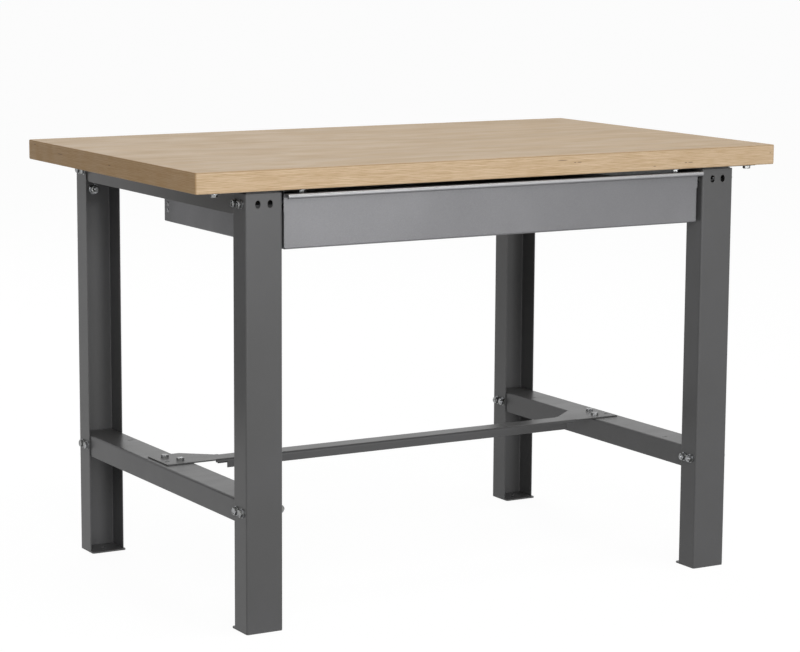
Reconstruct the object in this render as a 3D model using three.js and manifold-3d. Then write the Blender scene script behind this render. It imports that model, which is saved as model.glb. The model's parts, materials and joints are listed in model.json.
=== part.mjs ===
// Workshop bench: plywood top on a bolted frame of folded steel sheet, with one hanging drawer.
// Millimetres, +Z up, +X to the right, the front of the bench faces -Y.

import * as THREE from 'three';
import { mergeVertices } from 'three/addons/utils/BufferGeometryUtils.js';
import Module from 'manifold-3d';

const wasm = await Module();
wasm.setup();

// Tabletop
const topLength = 1250;
const topDepth = 750;
const topThickness = 38;
const benchHeight = 830;
const topEdgeRadius = 2;
const topCornerRadius = 3;

// Legs and feet
const legWidth = 72;
const legDepth = 48;
const legSheet = 2;
const legBend = 1.5;
const legInsetX = 97.5;
const legInsetY = 5;
const legTopGap = 4;
const footThickness = 3;
const footOverhang = 12;
const footCornerRadius = 4;
const anchorHoleDiameter = 10;
const webHoleWidth = 10;
const webHoleHeight = 14;
const webHolePitch = 24;

// Side rails
const railHeight = 42;
const railSheet = 2;
const railBend = 1.5;
const railSideGap = 0.3;
const railEndRelief = 1;
const lowerRailTop = 240;
const railSlotLength = 12;
const railSlotWidth = 3;
const railSlotFromInside = 17;
const railSlotFromMiddle = 240;
const railNotchHeight = 10;
const railNotchRadius = 28;
const railNotchLead = 14;

// Stretcher
const stretcherSheet = 2.5;
const stretcherBend = 2;
const stretcherWidth = 44;
const stretcherHeight = 18;
const stretcherFront = -17;
const stretcherFlangeGap = 69;
const stretcherStepLength = 24;
const stretcherStepHeight = 6;
const endPlateDepth = 88;
const endPlateInset = 12.5;
const endPlateLength = 65;
const endPlateFlare = 54;
const endPlateSlotLength = 10;
const endPlateSlotWidth = 3.5;
const endPlateSlot = { fromEnd: 11, fromFront: 25 };
const endPlateBolts = [
  { fromEnd: 25, fromFront: 65 },
  { fromEnd: 39, fromFront: 26 },
];

// Straps under the top
const strapThickness = 2;
const strapWidth = 28;
const strapLength = 200;
const strapCornerRadius = 6;
const strapBoltSpan = 172;
const strapBoltInset = 27;
const topBoltDepth = 20;

// M8 bolts and nuts, and the M10 bolt in the rear legs
const boltDiameter = 8;
const boltHoleDiameter = 9;
const headFlats = 13;
const headHeight = 5.3;
const nutHeight = 6.5;
const washerDiameter = 17;
const washerThickness = 1.6;
const threadEnd = 2.5;
const railBoltFromWeb = 17;
const railBoltPitch = 22;
const blindHoleGap = 0.3;
const accessoryBolt = { diameter: 10, hole: 11, flats: 16, nut: 8, washer: 21, washerThickness: 2, end: 4 };
const accessoryHead = { diameter: 20, height: 4 };
const accessoryBoltDrop = 61;

// Drawer
const drawerSideGap = 6.5;
const drawerDepth = 490;
const drawerSetback = 12.5;
const drawerTopGap = 7;
const drawerPanelHeight = 99;
const drawerSideHeight = 69;
const drawerSheet = 1.2;
const drawerBend = 1.5;
const drawerBottomFlange = 14;
const drawerLipWidth = 22;
const handleReach = 19.5;
const handleRollHeight = 8.4;
const handleRollReturn = 6;
const drawerFloorSheet = 1;
const drawerFloorGap = 0.3;
const drawerBackFlange = 22;
const drawerBackHem = 14;
const drawerBackTopGap = 5;
const drawerBackSideGap = 0.3;
const rivetHoleDiameter = 4.2;
const rivetFromRear = 14.5;
const rivetHeights = [21.5, 34];

// Runners and glides
const runnerSheet = 1.2;
const runnerBend = 1;
const runnerFlange = 20;
const runnerLipGap = 0.3;
const runnerWebGap = 1.5;
const runnerLegGap = 4;
const runnerRearMargin = 33;
const runnerScrewMargin = 14;
const glideLength = 40;
const glideWidth = 18;
const glideGap = 0.5;
const glideCornerRadius = 4;
const drawerTravel = 340;
const stopGap = 0.3;
const stopTabHeight = 18;
const stopTabReach = 12;
const screwDiameter = 4;
const screwHole = 4.8;
const screwHeadDiameter = 8;
const screwHeadHeight = 2.6;
const screwDepth = 16;

// Facets of round shapes
const boltSides = 8;
const holeSides = 12;
const washerSides = 12;
const bendSteps = 3;
const arcSteps = 4;
const slotSteps = 2;

// Places that follow from the sizes above
const topUnderside = benchHeight - topThickness;
const legTop = topUnderside - legTopGap;
const legOuterX = topLength / 2 - legInsetX;
const legInnerX = legOuterX - legWidth;
const legMiddleX = legOuterX - legWidth / 2;
const legWebY = topDepth / 2 - legInsetY;
const legEdgeY = legWebY - legDepth;
const railOuterX = legOuterX - legSheet - railSideGap;
const railInnerX = legInnerX + legSheet + railSideGap;
const railEndY = legWebY - legSheet - legBend - railEndRelief;
const upperRailTop = topUnderside - strapThickness;
const lowerBoltZ = lowerRailTop - railHeight / 2;
const upperBoltZ = upperRailTop - railHeight / 2;
const railBoltY = [legWebY - railBoltFromWeb, legWebY - railBoltFromWeb - railBoltPitch];
const strapBoltY = topDepth / 2 - strapBoltInset;
const strapBoltX = [legMiddleX - strapBoltSpan / 2, legMiddleX + strapBoltSpan / 2];
const stretcherTop = lowerRailTop + stretcherSheet;
const stretcherRear = stretcherFront + stretcherWidth;
const stretcherFlangeX = railInnerX - stretcherFlangeGap;
const endPlateX = legOuterX - endPlateInset;
const accessoryBoltZ = legTop - accessoryBoltDrop;
const drawerWidth = 2 * (legInnerX - drawerSideGap);
const panelFaceY = -topDepth / 2 + drawerSetback;
const panelTop = topUnderside - drawerTopGap;
const drawerBottom = panelTop - drawerPanelHeight;
const drawerSideTop = drawerBottom + drawerSideHeight;
const drawerRearY = panelFaceY + drawerDepth;
const drawerInsideX = drawerWidth / 2 - drawerSheet;
const drawerFloorTop = drawerBottom + drawerSheet + drawerFloorSheet;
const runnerFloorTop = drawerSideTop - drawerSheet - runnerLipGap;
const runnerWebX = drawerWidth / 2 - drawerLipWidth - runnerWebGap;
const runnerFrontY = -legEdgeY + runnerLegGap;
const runnerRearY = drawerRearY + runnerRearMargin;
const glideOuterX = runnerWebX + glideGap * 2 + glideWidth;
const glideFrontY = drawerRearY - glideLength;
const runnerScrewX = runnerWebX + runnerFlange / 2;
const runnerScrewY = [runnerFrontY + runnerScrewMargin, runnerRearY - runnerScrewMargin];

// Painted steel, plywood, bright zinc, drawer paint, galvanised runner and nylon
const framePaint = new THREE.MeshStandardMaterial({ color: 0x5c5c5c, roughness: 0.45, metalness: 0.2 });
const drawerPaint = new THREE.MeshStandardMaterial({ color: 0x919195, roughness: 0.4, metalness: 0.5 });
const plywood = new THREE.MeshStandardMaterial({ color: 0xc9b08f, roughness: 0.7, metalness: 0 });
const zinc = new THREE.MeshStandardMaterial({ color: 0xc4c5c8, roughness: 0.3, metalness: 1 });
const galvanised = new THREE.MeshStandardMaterial({ color: 0xa9abae, roughness: 0.4, metalness: 0.9 });
const nylon = new THREE.MeshStandardMaterial({ color: 0xe4e3dc, roughness: 0.5, metalness: 0 });

// A closed geometry as a solid that can be joined and cut.
function toSolid(geometry) {
  const bare = geometry.clone();
  bare.deleteAttribute('normal');
  bare.deleteAttribute('uv');
  const merged = mergeVertices(bare, 1e-4);
  const mesh = new wasm.Mesh({
    numProp: 3,
    vertProperties: new Float32Array(merged.attributes.position.array),
    triVerts: new Uint32Array(merged.index.array),
  });
  return new wasm.Manifold(mesh);
}

// A solid as a geometry for a mesh.
function toGeometry(solid) {
  const mesh = solid.getMesh();
  const geometry = new THREE.BufferGeometry();
  geometry.setAttribute('position', new THREE.BufferAttribute(mesh.vertProperties, 3));
  geometry.setIndex(new THREE.BufferAttribute(mesh.triVerts, 1));
  geometry.computeVertexNormals();
  return geometry;
}

// The first geometry joined with the others, then cut by the cutters.
function shaped(bodies, cutters = []) {
  let solid = toSolid(bodies[0]);
  for (const body of bodies.slice(1)) {
    solid = solid.add(toSolid(body));
  }
  for (const cutter of cutters) {
    solid = solid.subtract(toSolid(cutter));
  }
  return toGeometry(solid);
}

// A copy seen in a mirror across X, Y or both, with its faces still pointing out.
function mirrored(geometry, signX, signY) {
  const copy = geometry.clone();
  copy.scale(signX, signY, 1);
  if (signX * signY < 0) {
    const index = copy.index.array;
    for (let i = 0; i < index.length; i += 3) {
      [index[i], index[i + 1]] = [index[i + 1], index[i]];
    }
  }
  copy.computeVertexNormals();
  return copy;
}

// Section of a folded sheet: a strip of even thickness along the sheet's middle line, with a round bend
// of the given inside radius at each corner between the two ends.
function sheetSection(corners, thickness, bend) {
  const points = corners.map(([u, v]) => new THREE.Vector2(u, v));
  const half = thickness / 2;
  const leftFace = [];
  const rightFace = [];
  const addPair = (middle, normal) => {
    leftFace.push(middle.clone().addScaledVector(normal, half));
    rightFace.push(middle.clone().addScaledVector(normal, -half));
  };
  const direction = (i) => points[i + 1].clone().sub(points[i]).normalize();
  const leftOf = (d) => new THREE.Vector2(-d.y, d.x);
  addPair(points[0], leftOf(direction(0)));
  for (let i = 1; i < points.length - 1; i++) {
    const before = direction(i - 1);
    const after = direction(i);
    const turn = Math.atan2(before.cross(after), before.dot(after));
    const side = Math.sign(turn);
    const radius = bend + half;
    const setback = radius * Math.tan(Math.abs(turn) / 2);
    const start = points[i].clone().addScaledVector(before, -setback);
    const centre = start.clone().addScaledVector(leftOf(before), side * radius);
    for (let k = 0; k <= bendSteps; k++) {
      const normal = leftOf(before).rotateAround(new THREE.Vector2(), turn * k / bendSteps);
      addPair(centre.clone().addScaledVector(normal, -side * radius), normal);
    }
  }
  const last = points.length - 1;
  addPair(points[last], leftOf(direction(last - 1)));
  return new THREE.Shape([...leftFace, ...rightFace.reverse()]);
}

// A rectangle with round corners between two opposite corners.
function roundedRectangle(u0, v0, u1, v1, radius) {
  const shape = new THREE.Shape();
  shape.moveTo(u0 + radius, v0);
  shape.lineTo(u1 - radius, v0);
  shape.absarc(u1 - radius, v0 + radius, radius, -Math.PI / 2, 0);
  shape.lineTo(u1, v1 - radius);
  shape.absarc(u1 - radius, v1 - radius, radius, 0, Math.PI / 2);
  shape.lineTo(u0 + radius, v1);
  shape.absarc(u0 + radius, v1 - radius, radius, Math.PI / 2, Math.PI);
  shape.lineTo(u0, v0 + radius);
  shape.absarc(u0 + radius, v0 + radius, radius, Math.PI, Math.PI * 1.5);
  return shape;
}

// A shape drawn in (y, z) and extruded along X, or in (x, z) along Y, or in (x, y) along Z.
function extruded(axis, shape, from, to, curveSegments = arcSteps) {
  const settings = { depth: to - from, bevelEnabled: false, curveSegments };
  const geometry = new THREE.ExtrudeGeometry(shape, settings);
  const x = new THREE.Vector3(1, 0, 0);
  const y = new THREE.Vector3(0, 1, 0);
  const z = new THREE.Vector3(0, 0, 1);
  if (axis === 'x') {
    geometry.applyMatrix4(new THREE.Matrix4().makeBasis(y, z, x));
    return geometry.translate(from, 0, 0);
  }
  if (axis === 'y') {
    geometry.applyMatrix4(new THREE.Matrix4().makeBasis(x, z, y.negate()));
    return geometry.translate(0, to, 0);
  }
  return geometry.translate(0, 0, from);
}

// A round bar along an axis between two places, at the two other coordinates in X, Y, Z order.
function roundBar(axis, diameter, from, to, a, b, sides = boltSides) {
  const geometry = new THREE.CylinderGeometry(diameter / 2, diameter / 2, to - from, sides);
  const middle = (from + to) / 2;
  if (axis === 'x') {
    return geometry.rotateZ(-Math.PI / 2).translate(middle, a, b);
  }
  if (axis === 'y') {
    return geometry.translate(a, middle, b);
  }
  return geometry.rotateX(Math.PI / 2).translate(a, b, middle);
}

// Tabletop with eased edges and blind holes for the strap bolts and runner screws.
function tabletopGeometry() {
  const outline = roundedRectangle(
    -topLength / 2 + topEdgeRadius,
    -topDepth / 2 + topEdgeRadius,
    topLength / 2 - topEdgeRadius,
    topDepth / 2 - topEdgeRadius,
    topCornerRadius,
  );
  const slab = new THREE.ExtrudeGeometry(outline, {
    depth: topThickness - 2 * topEdgeRadius,
    bevelThickness: topEdgeRadius,
    bevelSize: topEdgeRadius,
    bevelSegments: 2,
    curveSegments: 2,
  });
  slab.translate(0, 0, topUnderside + topEdgeRadius);
  const holes = [];
  for (const side of [-1, 1]) {
    for (const x of strapBoltX) {
      for (const y of [-strapBoltY, strapBoltY]) {
        const depth = topUnderside + topBoltDepth + blindHoleGap;
        holes.push(roundBar('z', boltHoleDiameter, topUnderside - 1, depth, side * x, y));
      }
    }
    for (const y of runnerScrewY) {
      const depth = topUnderside + screwDepth + blindHoleGap;
      holes.push(roundBar('z', screwHole, topUnderside - 1, depth, side * runnerScrewX, y));
    }
  }
  return shaped([slab], holes);
}

// Upright oval for the two holes in a leg's web.
function webHole(x) {
  const half = webHoleWidth / 2;
  const shape = new THREE.Shape();
  const rise = webHoleHeight / 2 - half;
  shape.absarc(x, upperBoltZ + rise, half, 0, Math.PI);
  shape.absarc(x, upperBoltZ - rise, half, Math.PI, 2 * Math.PI);
  return extruded('y', shape, legWebY - legSheet - 1, legWebY + 1);
}

// Rear right leg: a C-channel with its web to the rear. The other legs are its mirror images.
function legGeometry(hasAccessoryHole) {
  const half = legSheet / 2;
  const section = sheetSection([
    [legInnerX + half, legEdgeY],
    [legInnerX + half, legWebY - half],
    [legOuterX - half, legWebY - half],
    [legOuterX - half, legEdgeY],
  ], legSheet, legBend);
  const channel = extruded('z', section, footThickness, legTop);
  const cutters = [webHole(legMiddleX - webHolePitch / 2), webHole(legMiddleX + webHolePitch / 2)];
  for (const y of railBoltY) {
    for (const z of [lowerBoltZ, upperBoltZ]) {
      cutters.push(roundBar('x', boltHoleDiameter, legInnerX - 1, legOuterX + 1, y, z));
    }
  }
  if (hasAccessoryHole) {
    const inside = legWebY - legSheet - 1;
    cutters.push(roundBar('y', accessoryBolt.hole, inside, legWebY + 1, legMiddleX, accessoryBoltZ));
  }
  return shaped([channel], cutters);
}

// Foot plate of the rear right leg, with round inner corners and an anchor hole inside the channel.
function footPlateGeometry() {
  const edge = legEdgeY - footOverhang;
  const outline = roundedRectangle(legInnerX, edge, legOuterX, legWebY, footCornerRadius);
  const plate = extruded('z', outline, 0, footThickness);
  const holeY = (edge + legWebY) / 2;
  const hole = roundBar('z', anchorHoleDiameter, -1, footThickness + 1, legMiddleX, holeY, holeSides);
  return shaped([plate], [hole]);
}

// Inverted U-channel of a side rail, with the bolt holes of its four ends' flanges.
function railChannel(top) {
  const half = railSheet / 2;
  const bottom = top - railHeight;
  const section = sheetSection([
    [railInnerX + half, bottom],
    [railInnerX + half, top - half],
    [railOuterX - half, top - half],
    [railOuterX - half, bottom],
  ], railSheet, railBend);
  const channel = extruded('y', section, -railEndY, railEndY);
  const holes = [];
  for (const y of railBoltY.flatMap((place) => [-place, place])) {
    holes.push(roundBar('x', boltHoleDiameter, railInnerX - 1, railOuterX + 1, y, top - railHeight / 2));
  }
  return { channel, holes };
}

// Right lower rail: cross slots near its ends and the stretcher's bolt holes in the web.
function lowerRailGeometry() {
  const { channel, holes } = railChannel(lowerRailTop);
  const below = lowerRailTop - railSheet - 1;
  const above = lowerRailTop + 1;
  const slotX = railInnerX + railSlotFromInside;
  for (const y of [-railSlotFromMiddle, railSlotFromMiddle]) {
    const slot = roundedRectangle(
      slotX - railSlotLength / 2,
      y - railSlotWidth / 2,
      slotX + railSlotLength / 2,
      y + railSlotWidth / 2,
      railSlotWidth / 3,
    );
    holes.push(extruded('z', slot, below, above, slotSteps));
  }
  for (const bolt of endPlateBolts) {
    const x = endPlateX - bolt.fromEnd;
    const y = stretcherFront + bolt.fromFront;
    holes.push(roundBar('z', boltHoleDiameter, below, above, x, y));
  }
  return shaped([channel], holes);
}

// Right upper rail: each flange is cut back with a round rise where it enters a leg.
function upperRailGeometry() {
  const { channel, holes } = railChannel(upperRailTop);
  const bottom = upperRailTop - railHeight;
  const start = legEdgeY - railNotchLead;
  const centreZ = bottom + railNotchRadius;
  const riseEnd = Math.asin((railNotchHeight - railNotchRadius) / railNotchRadius);
  for (const end of [-1, 1]) {
    const notch = new THREE.Shape();
    notch.moveTo(start, bottom - 1);
    notch.absarc(start, centreZ, railNotchRadius, -Math.PI / 2, riseEnd);
    notch.lineTo(railEndY + 1, bottom + railNotchHeight);
    notch.lineTo(railEndY + 1, bottom - 1);
    const cutter = toGeometry(toSolid(extruded('x', notch, railInnerX - 1, railOuterX + 1)));
    holes.push(mirrored(cutter, 1, end));
  }
  return shaped([channel], holes);
}

// Strap under the top across the rear right leg, with a bolt hole at each end.
function strapGeometry() {
  const outline = roundedRectangle(
    legMiddleX - strapLength / 2,
    strapBoltY - strapWidth / 2,
    legMiddleX + strapLength / 2,
    strapBoltY + strapWidth / 2,
    strapCornerRadius,
  );
  const strap = extruded('z', outline, upperRailTop, topUnderside);
  const holes = strapBoltX.map((x) => {
    return roundBar('z', boltHoleDiameter, upperRailTop - 1, topUnderside + 1, x, strapBoltY);
  });
  return shaped([strap], holes);
}

// Right end plate of the stretcher: flat over the rail, flaring to the rear from the bar's web.
function endPlateGeometry(barEnd) {
  const bendReach = stretcherSheet + stretcherBend;
  const flareStart = endPlateX - endPlateLength;
  const plateRear = stretcherFront + endPlateDepth;
  const outline = new THREE.Shape();
  outline.moveTo(stretcherFlangeX - 1, stretcherFront + bendReach);
  outline.lineTo(barEnd, stretcherFront + bendReach);
  outline.lineTo(barEnd, stretcherFront);
  outline.lineTo(endPlateX, stretcherFront);
  outline.lineTo(endPlateX, plateRear);
  outline.lineTo(flareStart, plateRear);
  outline.lineTo(flareStart - endPlateFlare, stretcherRear);
  outline.lineTo(stretcherFlangeX, stretcherRear);
  outline.lineTo(stretcherFlangeX, stretcherRear - bendReach);
  outline.lineTo(stretcherFlangeX - 1, stretcherRear - bendReach);
  const plate = extruded('z', outline, lowerRailTop, stretcherTop);
  const slotX = endPlateX - endPlateSlot.fromEnd;
  const slotY = stretcherFront + endPlateSlot.fromFront;
  const slot = roundedRectangle(
    slotX - endPlateSlotLength / 2,
    slotY - endPlateSlotWidth / 2,
    slotX + endPlateSlotLength / 2,
    slotY + endPlateSlotWidth / 2,
    endPlateSlotWidth / 3,
  );
  const cutters = [extruded('z', slot, lowerRailTop - 1, stretcherTop + 1, slotSteps)];
  for (const bolt of endPlateBolts) {
    const x = endPlateX - bolt.fromEnd;
    const y = stretcherFront + bolt.fromFront;
    cutters.push(roundBar('z', boltHoleDiameter, lowerRailTop - 1, stretcherTop + 1, x, y));
  }
  return shaped([plate], cutters);
}

// Stretcher: an inverted U between the lower rails. Near each end its rear flange stops, its front flange
// steps up to a shallow rim, and a flat plate carries on over the rail.
function stretcherGeometry() {
  const half = stretcherSheet / 2;
  const bottom = stretcherTop - stretcherHeight;
  const barEnd = stretcherFlangeX + stretcherStepLength;
  const section = sheetSection([
    [stretcherFront + half, bottom],
    [stretcherFront + half, stretcherTop - half],
    [stretcherRear - half, stretcherTop - half],
    [stretcherRear - half, bottom],
  ], stretcherSheet, stretcherBend);
  const bar = extruded('x', section, -barEnd, barEnd);
  const webRear = stretcherRear - stretcherSheet - stretcherBend;
  const trim = new THREE.Shape();
  trim.moveTo(stretcherFront - 1, bottom - 1);
  trim.lineTo(stretcherRear + 1, bottom - 1);
  trim.lineTo(stretcherRear + 1, stretcherTop + 1);
  trim.lineTo(webRear, stretcherTop + 1);
  trim.lineTo(webRear, stretcherTop - stretcherStepHeight);
  trim.lineTo(stretcherFront - 1, stretcherTop - stretcherStepHeight);
  const trimRight = extruded('x', trim, stretcherFlangeX, barEnd + 1);
  const trimLeft = extruded('x', trim, -barEnd - 1, -stretcherFlangeX);
  const trimmedBar = shaped([bar], [trimRight, trimLeft]);
  const plate = endPlateGeometry(barEnd);
  return shaped([trimmedBar, plate, mirrored(plate, -1, 1)]);
}

// Drawer front in section: bottom flange, panel, and the handle rolled forward and under at the top.
function drawerFrontSection(bottom) {
  const half = drawerSheet / 2;
  const panelY = panelFaceY + half;
  const rollFrontY = panelFaceY - handleReach + half;
  const rollBottom = panelTop - handleRollHeight + half;
  return sheetSection([
    ...bottom,
    [panelY, panelTop - half],
    [rollFrontY, panelTop - half],
    [rollFrontY, rollBottom],
    [rollFrontY + handleRollReturn, rollBottom],
  ], drawerSheet, drawerBend);
}

// Drawer shell, folded from one sheet: front with its rolled handle, and the two sides, which are lower
// than the front and have an inward lip at the top and an inward flange at the bottom.
function drawerShellGeometry() {
  const half = drawerSheet / 2;
  const wallX = drawerWidth / 2 - half;
  const panelY = panelFaceY + half;
  const bendReach = drawerBend + drawerSheet;
  const wallPlan = sheetSection([
    [-wallX, drawerRearY],
    [-wallX, panelY],
    [wallX, panelY],
    [wallX, drawerRearY],
  ], drawerSheet, drawerBend);
  const walls = extruded('z', wallPlan, drawerBottom + bendReach, drawerSideTop - bendReach);
  const upperFront = extruded(
    'x',
    drawerFrontSection([[panelY, drawerSideTop - bendReach]]),
    -drawerWidth / 2,
    drawerWidth / 2,
  );
  const frontFlange = sheetSection([
    [panelFaceY + drawerBottomFlange, drawerBottom + half],
    [panelY, drawerBottom + half],
    [panelY, drawerBottom + drawerSideHeight / 2],
  ], drawerSheet, drawerBend);
  const lowerFront = extruded('x', frontFlange, -drawerInsideX + drawerBend, drawerInsideX - drawerBend);
  const sideSection = sheetSection([
    [drawerWidth / 2 - drawerBottomFlange, drawerBottom + half],
    [wallX, drawerBottom + half],
    [wallX, drawerSideTop - half],
    [drawerWidth / 2 - drawerLipWidth, drawerSideTop - half],
  ], drawerSheet, drawerBend);
  const rightSide = toGeometry(toSolid(extruded('y', sideSection, panelFaceY + bendReach, drawerRearY)));
  const leftSide = mirrored(rightSide, -1, 1);
  const rivetY = drawerRearY - rivetFromRear;
  const reach = drawerWidth / 2 + 1;
  const rivetHoles = rivetHeights.map((height) => {
    return roundBar('x', rivetHoleDiameter, -reach, reach, rivetY, drawerBottom + height);
  });
  return shaped([walls, upperFront, lowerFront, rightSide, leftSide], rivetHoles);
}

// Drawer floor: a sheet that lies on the shell's bottom flanges.
function drawerFloorGeometry() {
  const clear = drawerBend + drawerFloorGap;
  const outline = roundedRectangle(
    -drawerInsideX + clear,
    panelFaceY + drawerSheet + clear,
    drawerInsideX - clear,
    drawerRearY - clear,
    drawerBend,
  );
  return extruded('z', outline, drawerBottom + drawerSheet, drawerFloorTop);
}

// Drawer back: stands on the floor, with a flange along each side for the rivets and a hem at the top.
function drawerBackGeometry() {
  const half = drawerSheet / 2;
  const wallX = drawerInsideX - drawerBackSideGap - half;
  const backY = drawerRearY - half;
  const backTop = drawerSideTop - drawerBackTopGap;
  const plan = sheetSection([
    [wallX, drawerRearY - drawerBackFlange],
    [wallX, backY],
    [-wallX, backY],
    [-wallX, drawerRearY - drawerBackFlange],
  ], drawerSheet, drawerBend);
  const walls = extruded('z', plan, drawerFloorTop, backTop - drawerBend - drawerSheet);
  const hemSection = sheetSection([
    [backY, drawerBottom + drawerSideHeight / 2],
    [backY, backTop - half],
    [drawerRearY - drawerBackHem, backTop - half],
  ], drawerSheet, drawerBend);
  const hem = extruded('x', hemSection, -wallX + drawerBend + drawerSheet, wallX - drawerBend - drawerSheet);
  const rivetY = drawerRearY - rivetFromRear;
  const rivetHoles = rivetHeights.map((height) => {
    return roundBar('x', rivetHoleDiameter, -drawerInsideX, drawerInsideX, rivetY, drawerBottom + height);
  });
  return shaped([walls, hem], rivetHoles);
}

// Right runner: a C-channel under the top, open to the drawer's side. The drawer's lip hangs on its lower
// flange, and two tabs pressed out of its web stop the glide at both ends of the travel.
function runnerGeometry() {
  const half = runnerSheet / 2;
  const floor = runnerFloorTop - half;
  const section = sheetSection([
    [runnerWebX + runnerFlange, floor],
    [runnerWebX - half, floor],
    [runnerWebX - half, topUnderside - half],
    [runnerWebX + runnerFlange, topUnderside - half],
  ], runnerSheet, runnerBend);
  const channel = extruded('y', section, runnerFrontY, runnerRearY);
  const middle = (runnerFloorTop + topUnderside) / 2;
  const tab = roundedRectangle(
    runnerWebX - half,
    middle - stopTabHeight / 2,
    runnerWebX + stopTabReach,
    middle + stopTabHeight / 2,
    runnerSheet / 3,
  );
  const frontTabY = glideFrontY - drawerTravel - stopGap;
  const rearTabY = drawerRearY + stopGap;
  const frontTab = extruded('y', tab, frontTabY - runnerSheet, frontTabY);
  const rearTab = extruded('y', tab, rearTabY, rearTabY + runnerSheet);
  const screwHoles = runnerScrewY.map((y) => {
    return roundBar('z', screwHole, topUnderside - runnerSheet - 1, topUnderside + 1, runnerScrewX, y);
  });
  return shaped([channel, frontTab, rearTab], screwHoles);
}

// Right glide: a nylon block on the rear end of the drawer's lip, inside the runner.
function glideGeometry() {
  const top = topUnderside - runnerSheet - glideGap;
  const side = roundedRectangle(glideFrontY, drawerSideTop, drawerRearY, top, glideCornerRadius);
  return extruded('x', side, glideOuterX - glideWidth, glideOuterX);
}

// A hexagonal prism along Z, with two of its flats facing +X and -X.
function hexagon(flats, from, to) {
  const radius = flats / Math.sqrt(3);
  const geometry = new THREE.CylinderGeometry(radius, radius, to - from, 6);
  return geometry.rotateX(Math.PI / 2).translate(0, 0, (from + to) / 2);
}

// A bolt along Z that clamps what lies between 0 and grip: its head is above the grip, and its washer, nut
// and thread end are below 0. A bolt without a nut ends at 0.
function boltGeometry({ grip, headWasher, nutWasher, nut }) {
  const headSeat = grip + (headWasher ? washerThickness : 0);
  const nutSeat = nutWasher ? -washerThickness : 0;
  const end = nut ? nutSeat - nutHeight - threadEnd : 0;
  const bodies = [
    roundBar('z', boltDiameter, end, headSeat + headHeight / 2, 0, 0),
    hexagon(headFlats, headSeat, headSeat + headHeight),
  ];
  if (headWasher) {
    bodies.push(roundBar('z', washerDiameter, grip, headSeat, 0, 0, washerSides));
  }
  if (nutWasher) {
    bodies.push(roundBar('z', washerDiameter, nutSeat, 0, 0, 0, washerSides));
  }
  if (nut) {
    bodies.push(hexagon(headFlats, nutSeat - nutHeight, nutSeat));
  }
  return shaped(bodies);
}

// Accessory bolt along Z through a leg's web: round head outside (above the grip), washer and nut inside.
function accessoryBoltGeometry() {
  const headRadius = accessoryHead.diameter / 2;
  const dome = new THREE.Shape();
  dome.moveTo(0, legSheet);
  dome.lineTo(headRadius, legSheet);
  dome.quadraticCurveTo(headRadius, legSheet + accessoryHead.height, 0, legSheet + accessoryHead.height);
  const head = new THREE.LatheGeometry(dome.getPoints(arcSteps), washerSides).rotateX(Math.PI / 2);
  const nutSeat = -accessoryBolt.washerThickness;
  const end = nutSeat - accessoryBolt.nut - accessoryBolt.end;
  return shaped([
    head,
    roundBar('z', accessoryBolt.diameter, end, legSheet + accessoryHead.height / 2, 0, 0),
    roundBar('z', accessoryBolt.washer, nutSeat, 0, 0, 0, washerSides),
    hexagon(accessoryBolt.flats, nutSeat - accessoryBolt.nut, nutSeat),
  ]);
}

// Runner screw along Z: pan head below, shank up into the top.
function screwGeometry() {
  const radius = screwHeadDiameter / 2;
  const profile = [
    new THREE.Vector2(0, -screwHeadHeight),
    new THREE.Vector2(radius * 0.6, -screwHeadHeight),
    new THREE.Vector2(radius, -screwHeadHeight / 2),
    new THREE.Vector2(radius, 0),
    new THREE.Vector2(screwDiameter / 2, 0),
    new THREE.Vector2(screwDiameter / 2, runnerSheet + screwDepth - screwDiameter),
    new THREE.Vector2(0, runnerSheet + screwDepth),
  ];
  return new THREE.LatheGeometry(profile, holeSides).rotateX(Math.PI / 2);
}

function addMesh(group, name, geometry, material) {
  const mesh = new THREE.Mesh(geometry, material);
  mesh.name = name;
  group.add(mesh);
  return mesh;
}

const sides = [{ name: 'left', sign: -1 }, { name: 'right', sign: 1 }];
const ends = [{ name: 'front', sign: -1 }, { name: 'rear', sign: 1 }];

// Frame: legs, feet, rails, straps and stretcher
function buildFrame() {
  const frame = new THREE.Group();
  const lowerRail = lowerRailGeometry();
  const upperRail = upperRailGeometry();
  const footPlate = footPlateGeometry();
  const strap = strapGeometry();
  for (const end of ends) {
    const leg = legGeometry(end.name === 'rear');
    for (const side of sides) {
      const corner = `${end.name}_${side.name}`;
      addMesh(frame, `leg_${corner}`, mirrored(leg, side.sign, end.sign), framePaint);
      addMesh(frame, `foot_plate_${corner}`, mirrored(footPlate, side.sign, end.sign), framePaint);
      addMesh(frame, `top_strap_${corner}`, mirrored(strap, side.sign, end.sign), framePaint);
    }
  }
  for (const side of sides) {
    addMesh(frame, `lower_rail_${side.name}`, mirrored(lowerRail, side.sign, 1), framePaint);
    addMesh(frame, `upper_rail_${side.name}`, mirrored(upperRail, side.sign, 1), framePaint);
  }
  addMesh(frame, 'stretcher', stretcherGeometry(), framePaint);
  return frame;
}

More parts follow.
